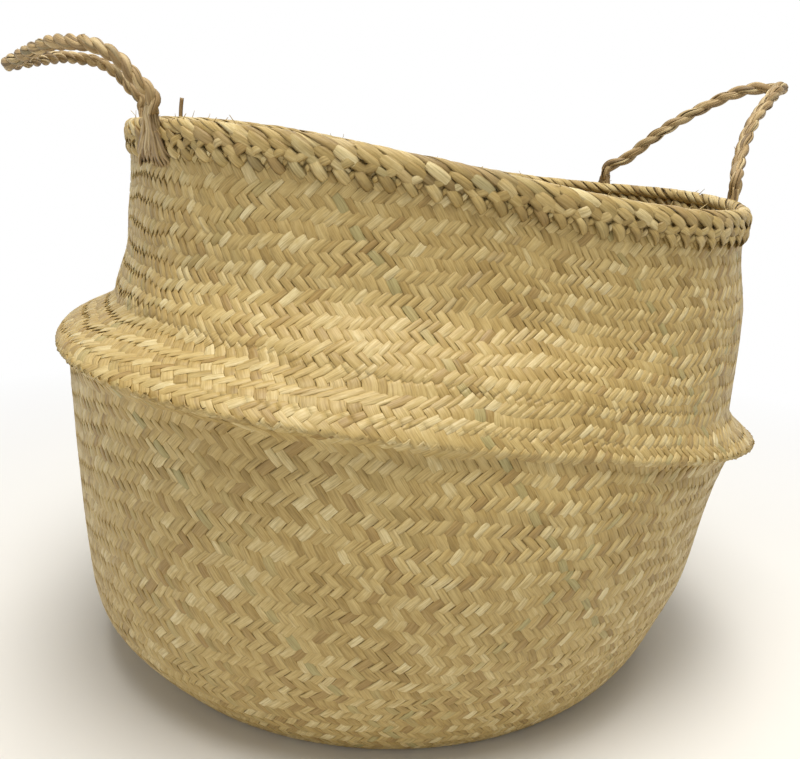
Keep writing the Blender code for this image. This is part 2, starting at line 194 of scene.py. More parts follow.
# The ropes: two plies of straws each, which run on into the feet
ROPE_LAYS = {"left": (0.014, 0.023), "right": (0.024, 0.024)}  # a turn's length at the feet and bend
LOOP_SAMPLES = 600
ROPE_SAMPLES = 240
ROPE_TAIL = 0.0030
PLY_RADII = {"left": 0.0023, "right": 0.0028}
PLY_SWING = 0.0013          # from the rope's middle to a ply's
PLY_STRAWS = 9
PLY_CORE_INSET = 0.5 * MM
PLY_STRAW_INSET = 0.35 * MM
PLY_STRAW_HALF_WIDTHS = (0.8, 1.3)  # in millimetres
PLY_EASE = 6 * MM           # the run in which a ply swells to its full size
PLY_STRAYS = 4
STRAW_LAY = 0.085           # the run in which a straw goes once round its own ply
STRAY_HALF_WIDTH = 0.28 * MM
STRAY_HALF_DEPTH = 0.15 * MM
STRAY_BEND = 0.35

# The feet: a fan's shift and half spread at its end, and the stand, number, half width and tone of
# the straws in each of its layers
FOOT_FANS = {("left", "front"): (-0.0140, 0.0190)}
FOOT_LAYERS = (
    (-1.5 * MM, 8, 2.2 * MM, 0.30),
    (0.1 * MM, 8, 1.8 * MM, 0.42),
    (1.4 * MM, 6, 1.5 * MM, 0.56),
)
FOOT_NECK = 2.4 * MM        # the fan's half width where the rope enters it
FOOT_LACING_NECK = 2.6 * MM  # the same for the straws that lace across the fan
FOOT_LACING_PLACES = (-1.0, -0.7, -0.4, -0.1, 0.2, 0.7)
FOOT_LACING_STAND = 2.0 * MM
FOOT_STRAYS = 6
FOOT_STRAW_HALF_DEPTH = 0.55 * MM

random = np.random.default_rng(SEED)
UP = np.array([0.0, 0.0, 1.0])

# The middles, ways across and ways out of a straw's rings, their half sizes, and their tone and kind
Straw = namedtuple("Straw", "centre across out half_width half_depth tone kind")


def unit(vectors):
    """Vectors scaled to length one."""
    return vectors / np.linalg.norm(vectors, axis=-1, keepdims=True)


def run_along(path):
    """The run from a path's start to each of its points."""
    return np.concatenate([[0.0], np.cumsum(np.linalg.norm(np.diff(path, axis=0), axis=1))])


def turned(ways, towards, turn):
    """Ways turned towards others by an angle."""
    return ways * np.cos(turn)[:, None] + towards * np.sin(turn)[:, None]


def smooth_between(at, knots, values):
    """A smooth curve through values at knots that never swings past them."""
    step = np.diff(knots)[:, None]
    slope = np.diff(values, axis=0) / step
    before, after = slope[:-1], slope[1:]
    same_way = before * after > 0
    total = np.where(same_way, before + after, 1.0)
    middle = np.where(same_way, 2 * before * after / total, 0.0)
    tangent = np.concatenate([slope[:1], middle, slope[-1:]])
    span = np.clip(np.searchsorted(knots, at, side="right") - 1, 0, len(step) - 1)
    width = step[span]
    t = (np.asarray(at) - knots[span])[:, None] / width
    start, end = values[span], values[span + 1]
    return (start * (1 + 2 * t) * (1 - t) ** 2 + end * t ** 2 * (3 - 2 * t)
            + width * (tangent[span] * t * (1 - t) ** 2 - tangent[span + 1] * t ** 2 * (1 - t)))


def wall_levels():
    """The levels with real sizes: along, then height, half width, half depth and the rest."""
    radii = (FLOOR_RADIUS, FLOOR_RADIUS + HEEL_FLAT, HEEL_SIDE_SHARE * BELLY_RADIUS)
    heights = (0.0, 0.0, HEEL_HEIGHT)
    rows = [[along, height, radius, radius] + [0.0] * 8
            for along, height, radius in zip(HEEL_ALONG_SHARES, heights, radii)]
    for along, up, *shares, square, oval, lobe, wave in LEVEL_SHARES:
        sizes = (BELLY_RADIUS * share for share in shares)
        rows.append([along, RIM_HEIGHT * up, *sizes, square, oval, lobe, BELLY_RADIUS * wave])
    return np.array(rows)


LEVELS = wall_levels()


def wall_points(along, angle):
    """Points on the wall's outer surface, for arrays of any shape."""
    along, angle = np.broadcast_arrays(along, angle)
    level = smooth_between(along.ravel(), LEVELS[:, 0], LEVELS[:, 1:]).T.reshape(-1, *along.shape)
    height, wide, deep, right, back, dip, rise, square, oval, lobe, wave = level
    swell = (1 + square * np.cos(4 * (angle - math.radians(SQUARE_TURN)))
             + oval * np.cos(2 * (angle - math.radians(OVAL_TURN))) + lobe * np.cos(3 * angle))
    x = right + wide * swell * np.cos(angle)
    y = back + deep * swell * np.sin(angle)
    z = height - dip * np.cos(angle) - rise * np.sin(angle)
    z = z + wave * np.cos(3 * (angle - math.radians(WAVE_TURN)))
    return np.stack([x, y, z], axis=-1)


def wall_frame(along, angle):
    """Points on the wall, the way round for a radian, and the way out."""
    step = 0.004
    spot = wall_points(along, angle)
    around = (wall_points(along, angle + step) - wall_points(along, angle - step)) / (2 * step)
    above = wall_points(np.clip(along + step, 0, 1), angle)
    below = wall_points(np.clip(along - step, 0, 1), angle)
    return spot, around, unit(np.cross(around, above - below))


def slow_wander(count, samples, period):
    """Smooth random curves between -1 and 1, one for each straw."""
    phase = random.uniform(0, math.tau, (count, WANDER_WAVES, 1))
    pace = random.uniform(*WANDER_PACES, (count, WANDER_WAVES, 1))
    at = np.arange(samples) * math.tau / period
    return np.sin(at * pace + phase).sum(axis=1) / WANDER_WAVES


def wavy(samples, amount, period):
    """A slow random change about one along a single straw."""
    return 1 + amount * slow_wander(1, samples, period)[0]


def straw_places():
    """The middles and widths of the straws of one direction, in shares of an even spacing."""
    widths = random.uniform(*WIDTH_RANGE, STRAWS_AROUND)
    widths *= STRAWS_AROUND / widths.sum()
    return np.cumsum(widths) - widths / 2, widths


FIRST_PLACES, FIRST_WIDTHS = straw_places()
SECOND_PLACES, SECOND_WIDTHS = straw_places()


def place_of(places, index):
    """The place of a straw by its number, which may run past the whole turn."""
    return places[index % STRAWS_AROUND] + STRAWS_AROUND * (index // STRAWS_AROUND)


def climb_table():
    """The share along the wall at even steps of the climb up its real length, by angle."""
    angles = np.linspace(0, math.tau, CLIMB_ANGLES)
    shares = np.linspace(0, 1, CLIMB_STEPS)
    step = np.linalg.norm(np.diff(wall_points(shares, angles[:, None]), axis=1), axis=2)
    climb = np.concatenate([np.zeros((len(angles), 1)), np.cumsum(step, axis=1)], axis=1)
    return np.array([np.interp(shares, run / run[-1], shares) for run in climb])


CLIMB = climb_table()


def row_share(row, angle):
    """How far along the wall a row of crossings lies at an angle."""
    column = np.mod(angle, math.tau) / math.tau * (CLIMB_ANGLES - 1)
    climb = row / ROWS_TO_RIM
    step = climb * (1 + ROW_EASE * (1 - climb)) * (CLIMB_STEPS - 1)
    left = np.clip(column.astype(int), 0, CLIMB_ANGLES - 2)
    low = np.clip(step.astype(int), 0, CLIMB_STEPS - 2)
    across, up = column - left, step - low
    lower = CLIMB[left, low] * (1 - across) + CLIMB[left + 1, low] * across
    upper = CLIMB[left, low + 1] * (1 - across) + CLIMB[left + 1, low + 1] * across
    return lower * (1 - up) + upper * up


def lattice_drift(place, row):
    """Slow wandering of the plait, round and up, in crossings: both directions share it."""
    round_by = np.zeros(row.shape)
    up_by = np.zeros(row.shape)
    for cycles, rows, turn, lift_turn in DRIFT_WAVES:
        phase = math.tau * (cycles * place / STRAWS_AROUND + row / rows)
        round_by += np.sin(phase + turn)
        up_by += np.sin(phase + lift_turn)
    ease = np.clip(np.minimum(row, ROWS_TO_RIM - row) / DRIFT_EASE_ROWS, 0, 1)
    return DRIFT * round_by, DRIFT * up_by * ease


DRIFT_WAVES = [(int(random.integers(*DRIFT_CYCLES)) * (1 if k % 2 else -1),
                random.uniform(*DRIFT_ROWS), *random.uniform(0, math.tau, 2))
               for k in range(DRIFT_WAVE_COUNT)]


def lean_run(row):
    """How far round, in crossings, a straw of the first direction has gone at a row."""
    rows = np.linspace(0, ROWS_TO_RIM, 241)
    rise = np.clip((rows / ROWS_TO_RIM - LEAN_CHANGE_START) / LEAN_CHANGE_SPAN, 0, 1)
    lean = BELLY_LEAN_SHARE + (COLLAR_LEAN_SHARE - BELLY_LEAN_SHARE) * rise * rise * (3 - 2 * rise)
    gone = np.concatenate([[0.0], np.cumsum((lean[1:] + lean[:-1]) / 2 * np.diff(rows))])
    below = np.minimum(row, 0) * lean[0]
    above = np.maximum(row - ROWS_TO_RIM, 0) * lean[-1]
    return np.interp(row, rows, gone) + (below + above)


def crowded(angle):
    """Angles moved so that some thirds of the turn are plaited tighter, and the room's share."""
    swing = 3 * (angle - math.radians(CROWD_TURN))
    return angle + CROWD_SHARE / 3 * np.sin(swing), 1 + CROWD_SHARE * np.cos(swing)


def wall_straws(first):
    """Arrays of the straws of one direction over the whole wall: one row a straw."""
    index = np.arange(STRAWS_AROUND)[:, None]
    rows = np.arange(ROWS_TO_RIM + 1)[None, :]
    if first:
        own, widths = FIRST_PLACES[:, None], FIRST_WIDTHS
        crossing = place_of(SECOND_PLACES, index + rows) - own
    else:
        own, widths = SECOND_PLACES[:, None], SECOND_WIDTHS
        crossing = own - place_of(FIRST_PLACES, index - rows)
    whole = 0 if first else 1
    over = np.where(rows[0] % 4 < 2, 1.0, -1.0) * (1 if first else -1)
    samples = WALL_SAMPLES
    row = np.empty((STRAWS_AROUND, samples))
    row[:, ::2] = crossing
    row[:, 1::2] = (crossing[:, 1:] + crossing[:, :-1]) / 2
    place = own + lean_run(row) - whole * row
    round_by, up_by = lattice_drift(place, np.clip(row, 0, ROWS_TO_RIM))
    # A straw that ends early keeps a hair of length in each step, so its direction stays known
    row = np.clip(row + up_by, 0, ROWS_TO_RIM) + END_HAIR * np.arange(samples) / samples
    row *= ROWS_TO_RIM / (ROWS_TO_RIM + END_HAIR)
    lift = np.empty(samples)
    lift[::2] = over
    lift[1::2] = (over[1:] + over[:-1]) / 2
    place = own + lean_run(row) - whole * row + round_by
    angle, crowd = crowded(place * math.tau / STRAWS_AROUND)
    share = row_share(row, angle)
    spot, around, out = wall_frame(share, angle)
    bow = 1 + BOW_WANDER * slow_wander(STRAWS_AROUND, samples, 12)
    ruck = (np.degrees(angle) - RUCK_TURN + 180) % 360 - 180
    ruck = np.exp(-(ruck / RUCK_SPREAD) ** 2) * np.clip((share - FOLD_SHARE) / RUCK_EASE, 0, 1)
    bow = bow * (1 + RUCK_RELIEF * ruck)
    centre = spot + out * (WEAVE_HEIGHT * lift * bow - WEAVE_DEPTH)[..., None]
    ahead = unit(np.gradient(spot, axis=1))
    across = unit(np.cross(out, ahead))
    room = np.abs((around * across).sum(axis=-1)) * math.tau / STRAWS_AROUND
    tilt = TILT_WANDER * slow_wander(STRAWS_AROUND, samples, 9)[..., None]
    ledge = np.clip(1 - np.abs(share - (FOLD_SHARE + FOOT_SHARE) / 2) / LEDGE_REACH, 0, 1)
    half_width = 0.5 * (STRAW_COVER + LEDGE_COVER * ledge) * widths[:, None] * room * crowd
    half_width = half_width * (1 + WIDTH_WANDER * slow_wander(STRAWS_AROUND, samples, 7))
    return share, centre, unit(across + tilt * out), unit(out - tilt * across), half_width


def straw_tones(count, samples, pale_with_sheen=True):
    """How pale a straw is along its length, and how brown (above 0) or green (below 0); the wall's
    two directions start from different tones, a painted sheen and painted shade.
    """
    # Paler for the floor and the straws rising to the right (painted sheen), deeper for those rising
    # to the left (painted shade)
    tone = random.normal(PALE_AND_SHEEN_TONE if pale_with_sheen else DEEP_NO_SHEEN_TONE, TONE_SPREAD, (count, 1))
    tone = tone + TONE_WANDER * slow_wander(count, samples, 40)
    kind = np.clip(random.normal(0.0, KIND_SPREAD, (count, 1)), -0.5, 0.7)
    odd = random.random((count, 1))
    kind = np.where(odd < BROWN_CHANCE, ODD_KIND, np.where(odd > 1 - GREEN_CHANCE, -ODD_KIND, kind))
    kind = kind * (1 + KIND_WANDER * slow_wander(count, samples, 60))
    return np.clip(tone, 0, 1), np.clip(kind, -1, 1)


def cut_straws(arrays, low, high, first_straw, last_straw):
    """The straws of a stretch of the wall between two shares along it, as a list."""
    share, centre, across, out, half_width, tone, kind = arrays
    straws = []
    for i in range(first_straw, last_straw):
        start, end = np.searchsorted(share[i], (low, high))
        run = slice(start, end + 1)
        size = len(centre[i, run])
        straws.append(Straw(centre[i, run], across[i, run], out[i, run], half_width[i, run],
                            np.full(size, STRAW_HALF_DEPTH), tone[i, run], kind[i, run]))
    return straws


def straw_mesh(name, straws, section=LEAF_SECTION):
    """One object of many closed ribbons, with the attributes that the straw materials read."""
    section = np.array(section)
    sides = len(section)
    ring = np.arange(sides)
    points, faces, ends, facts, tones = [], [], [], [], []
    count = 0
    for straw in straws:
        samples = len(straw.centre)
        sideways = straw.half_width[:, None] * section[:, 0]
        wide = straw.across[:, None] * sideways[..., None]
        deep = straw.out[:, None] * (straw.half_depth[:, None] * section[:, 1])[..., None]
        points.append((straw.centre[:, None] + wide + deep).reshape(-1, 3))
        run = run_along(straw.centre) + random.uniform(0, 5)
        grid = np.stack(np.broadcast_arrays(run[:, None], sideways, random.uniform(0, 50)), axis=-1)
        facts.append(grid.reshape(-1, 3))
        edge = np.abs(section[:, 0])
        tone = np.stack(np.broadcast_arrays(straw.tone[:, None], straw.kind[:, None], edge), axis=-1)
        tones.append(tone.reshape(-1, 3))
        start = count + np.arange(samples - 1)[:, None] * sides
        near, far = start + ring, start + (ring + 1) % sides
        quads = np.stack([near, near + sides, far + sides, far], axis=-1)
        faces.append(quads.reshape(-1, 4))
        ends += [count + ring, count + samples * sides - 1 - ring]
        count += samples * sides
    points = np.concatenate(points)
    faces = np.concatenate(faces)
    corners = np.concatenate([faces.ravel(), *ends])
    sizes = np.repeat((4, sides), (len(faces), len(ends)))
    data = bpy.data.meshes.new(name)
    data.vertices.add(len(points))
    data.vertices.foreach_set("co", points.ravel())
    data.loops.add(len(corners))
    data.loops.foreach_set("vertex_index", corners)
    data.polygons.add(len(sizes))
    data.polygons.foreach_set("loop_start", np.cumsum(sizes) - sizes)
    data.polygons.foreach_set("loop_total", sizes)
    data.polygons.foreach_set("use_smooth", np.arange(len(sizes)) < len(faces))
    data.update(calc_edges=True)
    data.validate()
    for label, values in (("straw_run", facts), ("straw_tone", tones)):
        attribute = data.attributes.new(label, "FLOAT_VECTOR", "POINT")
        attribute.data.foreach_set("vector", np.concatenate(values).astype(np.float32).ravel())
    piece = bpy.data.objects.new(name, data)
    dressed.objects.link(piece)
    return piece


def linear(code):
    """An sRGB hex colour as linear RGBA."""
    parts = [int(code[i:i + 2], 16) / 255 for i in (0, 2, 4)]
    return [c / 12.92 if c <= 0.04045 else ((c + 0.055) / 1.055) ** 2.4 for c in parts] + [1.0]


def add_node(tree, kind, settings=None, **links):
    """Add a shader node: its settings by name, and its inputs as values or other nodes' outputs."""
    node = tree.nodes.new(kind)
    for name, value in (settings or {}).items():
        setattr(node, name, value)
    for name, value in links.items():
        by_number = name[0] == "i" and name[1:].isdigit()
        socket = node.inputs[int(name[1:]) if by_number else name]
        if isinstance(value, bpy.types.NodeSocket):
            tree.links.new(value, socket)
        else:
            socket.default_value = value
    return node


# Each material's straw colours, from the deepest to the palest
WALL_STOPS = ((0.05, "A58B50"), (0.35, "C1A76A"), (0.62, "D2BB80"), (0.92, "EADBAC"))
RIM_STOPS = ((0.05, "968053"), (0.35, "B8A067"), (0.62, "CBB47C"), (0.92, "E2D2A2"))
ROPE_STOPS = ((0.05, "786344"), (0.35, "A0875F"), (0.62, "BDA476"), (0.92, "DFCCA0"))

# Fibres: streaks from a quarter to three quarters of a millimetre wide and a centimetre long, which
# give a straw its grain. Blotches: where it dried paler or darker, five to ten millimetres long.
# Both are the size of the pattern's cell in millimetres, along a straw and across it.
FIBRE_CELL = (100 / 7, 2 / 3)
BLOTCH_CELL = (100 / 13, 50 / 13)
FIBRE_STOPS = ((0.30, "7C6A42"), (0.45, "D8CCA8"), (0.60, "FFFFFF"))
# Painted shade: the tint that darkens each straw towards its thin edges, where the straws meet
EDGE_SHADE_TINT = "7A6238"
GRAIN_DEPTH = 0.35 * MM


def start_material(name):
    """A new material with its node tree and its shader."""
    material = bpy.data.materials.new(name)
    material.use_nodes = True
    return material, material.node_tree, material.node_tree.nodes["Principled BSDF"]


def seagrass(name, stops, brown, green, streaks, edge_shade, roughness, gloss):
    """Dry seagrass straw: pale and brown straws, fibres along each, and thin edges darkened as
    painted shade where the straws meet.
    """
    material, tree, shader = start_material(name)
    run = add_node(tree, "ShaderNodeAttribute", {"attribute_name": "straw_run"}).outputs["Vector"]
    facts = add_node(tree, "ShaderNodeAttribute", {"attribute_name": "straw_tone"}).outputs["Vector"]
    parts = add_node(tree, "ShaderNodeSeparateXYZ", i0=facts)
    tone, kind, edge = (parts.outputs[i] for i in range(3))
    patterns = []
    for (along, across), roughening in ((FIBRE_CELL, 0.7), (BLOTCH_CELL, 0.55)):
        place = add_node(tree, "ShaderNodeVectorMath", {"operation": "MULTIPLY"}, i0=run,
                         i1=(1 / (along * MM), 1 / (across * MM), 1.0))
        noise = add_node(tree, "ShaderNodeTexNoise", i0=place.outputs[0], Scale=1.0, Detail=3.0,
                         Roughness=roughening)
        patterns.append(noise.outputs[0])
    fibres, blotches = patterns
    moves = {
        "paler": (blotches, 0.3, 0.7, -0.13, 0.13),
        "brown": (kind, 0.25, 1.0, 0.0, 0.85),
        "green": (kind, -0.25, -1.0, 0.0, 0.75),
        # Painted shade, darker towards a straw's edges
        "edge": (edge, 0.55, 1.0, 0.0, edge_shade),
        "rough": (fibres, 0.2, 0.8, roughness + 0.10, roughness - 0.10),
        "swell": (blotches, 0.0, 1.0, 0.0, 0.7),
    }
    moved = {}
    for label, (value, low, high, to_low, to_high) in moves.items():
        node = add_node(tree, "ShaderNodeMapRange", i0=value, i1=low, i2=high, i3=to_low, i4=to_high)
        moved[label] = node.outputs[0]
    paleness = add_node(tree, "ShaderNodeMath", {"operation": "ADD"}, i0=tone, i1=moved["paler"])
    ramps = []
    for factor, steps in ((paleness.outputs[0], stops), (fibres, FIBRE_STOPS)):
        ramp = add_node(tree, "ShaderNodeValToRGB", i0=factor)
        elements = ramp.color_ramp.elements
        while len(elements) < len(steps):
            elements.new(0.5)
        for element, (place, code) in zip(elements, steps):
            element.position = place
            element.color = linear(code)
        ramps.append(ramp.outputs[0])
    colour, streak = ramps
    layers = (("MIX", moved["brown"], linear(brown)), ("MIX", moved["green"], linear(green)),
              ("MULTIPLY", streaks, streak), ("MULTIPLY", moved["edge"], linear(EDGE_SHADE_TINT)))
    for blend, share, layer in layers:
        node = add_node(tree, "ShaderNodeMix", {"data_type": "RGBA", "blend_type": blend},
                        i0=share, i6=colour, i7=layer)
        colour = node.outputs[2]
    height = add_node(tree, "ShaderNodeMath", {"operation": "ADD"}, i0=fibres, i1=moved["swell"])
    bump = add_node(tree, "ShaderNodeBump", Strength=0.55, Distance=GRAIN_DEPTH,
                    Height=height.outputs[0])
    tree.links.new(colour, shader.inputs["Base Color"])
    tree.links.new(moved["rough"], shader.inputs["Roughness"])
    tree.links.new(bump.outputs[0], shader.inputs["Normal"])
    shader.inputs["Specular IOR Level"].default_value = gloss
    return material


def dress(piece, material, node):
    """Give a piece its material, and let it stand for its CAD node."""
    piece.data.materials.append(material)
    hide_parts(node)
    return piece


def weave_wall(material):
    """The wall, in pieces by stretch and direction, each small enough to export whole."""
    angles = np.linspace(0, math.tau, 60, endpoint=False)
    start, end = (wall_points(share, angles).mean(axis=0) for share in (FOLD_SHARE, FOOT_SHARE))
    ridge_way = unit(np.array([RIDGE_DIP, RIDGE_RISE, 1.0]))
    end = start + ridge_way * np.dot(end - start, ridge_way)
    half = STRAWS_AROUND // 2
    for label, first in (("rising_right", True), ("rising_left", False)):
        # The straws rising to the right take the paler tone and the others the deeper one: painted
        # sheen and painted shade
        arrays = (*wall_straws(first), *straw_tones(STRAWS_AROUND, WALL_SAMPLES, first))
        for part, span in (("one", (0, half)), ("two", (half, STRAWS_AROUND))):
            straws = cut_straws(arrays, 0.0, FOLD_SHARE, *span)
            piece = straw_mesh(f"belly_straws_{label}_{part}", straws, FLAT_SECTION)
            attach(dress(piece, material, "belly_wall"), "belly")
        straws = cut_straws(arrays, FOLD_SHARE, FOOT_SHARE, 0, STRAWS_AROUND)
        piece = straw_mesh(f"shoulder_straws_{label}", straws, FLAT_SECTION)
        dress(piece, material, "shoulder")
        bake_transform(piece)
        straws = cut_straws(arrays, FOOT_SHARE, WALL_END_SHARE, 0, STRAWS_AROUND)
        piece = straw_mesh(f"collar_straws_{label}", straws, FLAT_SECTION)
        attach(dress(piece, material, "collar_wall"), "collar")


def floor_straws(first):
    """The floor's straws of one direction, a square two-over, two-under plait cut round."""
    radius = FLOOR_RADIUS + HEEL_FLAT
    height = 0.5 * WALL + FLOOR_RAISE
    turn = math.radians(SQUARE_TURN - 45)
    sign = 1.0 if first else -1.0
    half_count = int(radius / FLOOR_PITCH)
    straws = []
    for index in range(-half_count, half_count + 1):
        place = index * FLOOR_PITCH
        reach = math.sqrt(radius ** 2 - place ** 2)
        most = math.floor(reach / FLOOR_PITCH)
        crossings = np.arange(-most, most + 1)
        along = np.concatenate([[-reach], crossings * FLOOR_PITCH, [reach]])
        over = np.where(sign * (crossings - index) % 4 < 2, sign, -sign)
        lift = np.pad(over, 1, mode="edge")
        fine = np.linspace(0, 1, 2 * len(along) - 1)
        coarse = np.linspace(0, 1, len(along))
        along, lift = np.interp(fine, coarse, along), np.interp(fine, coarse, lift)
        flat = np.full_like(along, place)
        x, y = (along, flat) if first else (flat, along)
        x, y = x * math.cos(turn) - y * math.sin(turn), x * math.sin(turn) + y * math.cos(turn)
        centre = np.stack([x, y, height + WEAVE_HEIGHT * lift], axis=-1)
        ahead = unit(centre[-1] - centre[0])
        across = np.broadcast_to(unit(np.cross(UP, ahead)), centre.shape)
        out = np.broadcast_to(UP, centre.shape)
        size = len(along)
        tone, kind = straw_tones(1, size)
        straws.append(Straw(centre, across, out, np.full(size, FLOOR_STRAW_SHARE * FLOOR_PITCH),
                            np.full(size, STRAW_HALF_DEPTH), tone[0], kind[0]))
    return straws


def weave_floor(material):
    """The woven floor, in two pieces, one a direction."""
    for label, first in (("lengthwise", True), ("crosswise", False)):
        piece = straw_mesh(f"floor_straws_{label}", floor_straws(first))
        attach(dress(piece, material, "base"), "belly")


def rim_table():
    """Closely spaced points round the rim's top edge with the ways along and out, and the run."""
    angles = np.linspace(0, math.tau, RIM_SAMPLES)
    spots = wall_points(1.0, angles)
    way = unit(np.gradient(spots, axis=0))
    way[0] = way[-1] = unit(way[0] + way[-1])
    return angles, run_along(spots), spots, way, unit(np.cross(way, UP))


RIM_ANGLES, RIM_RUN, RIM_SPOTS, RIM_WAY, RIM_OUT = rim_table()
RIM_LENGTH = RIM_RUN[-1]


def on_rim(run, rise, stand):
    """Points by the run round the rim, the rise above its top and the stand off the wall."""
    at = np.mod(run, RIM_LENGTH)
    spot, way, out = (np.stack([np.interp(at, RIM_RUN, table[:, i]) for i in range(3)], axis=-1)
                      for table in (RIM_SPOTS, RIM_WAY, RIM_OUT))
    return spot + out * stand[..., None] + UP * rise[..., None], way, out


def rim_run_at(angle):
    """The run round the rim at an angle."""
    return float(np.interp(angle % math.tau, RIM_ANGLES, RIM_RUN))


def leaf(centre, facing, half_width, half_depth, tone, kind):
    """A ribbon along centre whose flat side turns towards facing."""
    ahead = unit(np.gradient(centre, axis=0))
    across = unit(np.cross(facing, ahead))
    out = unit(np.cross(ahead, across))
    size = len(centre)
    sizes_and_looks = (np.broadcast_to(value, size) for value in (half_width, half_depth, tone, kind))
    return Straw(centre, across, out, *sizes_and_looks)


def leaf_shape(size, end_share):
    """Widths along a leaf as shares of its widest: narrow where its ends are tucked in."""
    at = np.linspace(-1, 1, size)
    return end_share + (1 - end_share) * (1 - np.abs(at) ** LEAF_TAPER)


def leaf_looks(tone, kind):
    """A leaf's own tone and kind, by chance about their means."""
    return np.clip(random.normal(tone, LEAF_TONE_SPREAD), 0, 1), random.normal(kind, LEAF_KIND_SPREAD)


def roll_leaves():
    """The roll's core and the leaves wound over it, up and to the left as seen from outside."""
    size = 26
    core = ROLL_DIAMETER / 2 - ROLL_CORE_INSET
    below = np.full(ROLL_CORE_SAMPLES, ROLL_DIAMETER / 2)
    round_rim = np.linspace(0, RIM_LENGTH, ROLL_CORE_SAMPLES)
    centre, _, out = on_rim(round_rim, -below, BORDER_PROUD - below)
    leaves = [leaf(centre, out, core, core, CORE_TONE, CORE_KIND)]
    for index in range(ROLL_LEAVES):
        start = (index + random.uniform(-0.2, 0.2)) * RIM_LENGTH / ROLL_LEAVES
        turn = np.radians(np.linspace(*ROLL_ARC, size) + random.uniform(-10, 10))
        run = start - (turn / math.tau) * random.uniform(*ROLL_LEAF_LAYS)
        sunk = 1 - 0.25 * np.abs(np.linspace(-1, 1, size)) ** 4
        swell = (ROLL_DIAMETER / 2 - ROLL_LEAF_INSET) * random.uniform(0.90, 1.05) * sunk
        stand = BORDER_PROUD - ROLL_DIAMETER / 2 + swell * np.cos(turn)
        rise = -ROLL_DIAMETER / 2 + swell * np.sin(turn)
        centre, _, out = on_rim(run, rise, stand)
        facing = turned(out, UP, turn)
        width = random.uniform(*ROLL_LEAF_HALF_WIDTHS) * leaf_shape(size, 0.6) * wavy(size, 0.2, 12)
        depth = ROLL_LEAF_HALF_DEPTH * leaf_shape(size, 0.6)
        leaves.append(leaf(centre, facing, width, depth, *leaf_looks(0.46, 0.1)))
    for _ in range(ROLL_STRAYS):
        root, way, out = on_rim(np.array([random.uniform(0, RIM_LENGTH)]), np.array([-0.6 * MM]),
                                np.array([random.uniform(-3, 1) * MM]))
        aim = UP + way[0] * random.uniform(-2, 2) + out[0] * random.uniform(-0.6, 0.6)
        leaves.append(stray_fibre(root[0], aim, random.uniform(2, 5) * MM))
    return leaves


BandRow = namedtuple("BandRow", "start end stand half_width half_depth ends ragged shift")
# The border's rows in millimetres: run and rise of both ends from the rim's top, stand off the
# wall along the leaf, half width and depth, width at the ends as a share, raggedness, and the
# row's shift in pitches
BAND_ROWS = (
    BandRow((-6.4, -3.9), (5.6, -10.2), (1.3, 2.6, 2.6, 2.1, 0.6), 2.5, 0.55, 0.62, 0.7, 0.0),
    BandRow((-5.6, -8.0), (5.4, -13.2), (0.3, 1.7, 2.0, 1.8, 0.5), 2.3, 0.55, 0.65, 0.7, 0.5),
    BandRow((-4.4, -12.8), (4.4, -7.0), (0.6, 3.0, 0.9), 2.2, 0.5, 0.70, 0.7, 0.92),
    BandRow((4.8, -12.0), (1.8, -15.6), (0.4, 1.0, 1.2, 0.6, -0.9), 1.6, 0.5, 0.7, 0.4, 0.80),
    BandRow((-4.2, -11.0), (1.8, -18.0), (0.8, 1.9, 2.2, 1.6, -0.6), 2.5, 0.6, 0.85, 0.45, 0.80),
    BandRow((7.5, -6.0), (-7.5, -13.5), (-3.6, -4.6, -4.9, -4.6, -3.6), 2.5, 0.6, 0.5, 0.5, 0.0),
)


def band_leaves():
    """The laced band under the roll: slanted leaves, ties between them, teeth, and the inside."""
    pitch = RIM_LENGTH / BAND_LEAVES
    size = 11
    share = np.linspace(0, 1, size)
    leaves = []
    for row in BAND_ROWS:
        (run_0, rise_0), (run_1, rise_1) = row.start, row.end
        for index in range(BAND_LEAVES):
            shift, drop, turn = random.normal(0, row.ragged, 3)
            run = shift + run_0 + (run_1 - run_0) * share
            rise = rise_0 + (rise_1 - rise_0) * share + drop + turn * (share - 0.5)
            off = np.interp(share, np.linspace(0, 1, len(row.stand)), row.stand)
            off = np.convolve(np.pad(off, 1, mode="edge"), (0.25, 0.5, 0.25), mode="valid")
            off = off * random.uniform(0.85, 1.15)
            centre, _, out = on_rim((index + row.shift) * pitch + run * MM, rise * MM, off * MM)
            width = row.half_width * MM * random.uniform(0.8, 1.2) * leaf_shape(size, row.ends)
            depth = row.half_depth * MM * leaf_shape(size, 0.6)
            leaves.append(leaf(centre, out, width, depth, *leaf_looks(0.50, 0.05)))
    return leaves


def rim_spot(angle):
    """A point on the rim's top edge and the way out."""
    before, spot, after = (wall_points(1.0, angle + step) for step in (-0.01, 0.0, 0.01))
    return spot, unit(np.cross(unit(after - before), UP))


def axis_spot(angle):
    """Where a handle's rope leaves its foot, on the swing axis."""
    spot, out = rim_spot(angle)
    return spot + out * (BORDER_PROUD + FOOT_SEAT + FOOT_THICKNESS / 2) + UP * AXIS_RISE


def handle_feet(turn, spread):
    """The angles of a handle's two feet."""
    middle = math.radians(turn)
    opening = math.asin(spread / 2 / BELLY_RADIUS)
    for _ in range(8):
        gap = np.linalg.norm(rim_spot(middle + opening)[0] - rim_spot(middle - opening)[0])
        opening *= spread / gap
    return middle - opening, middle + opening


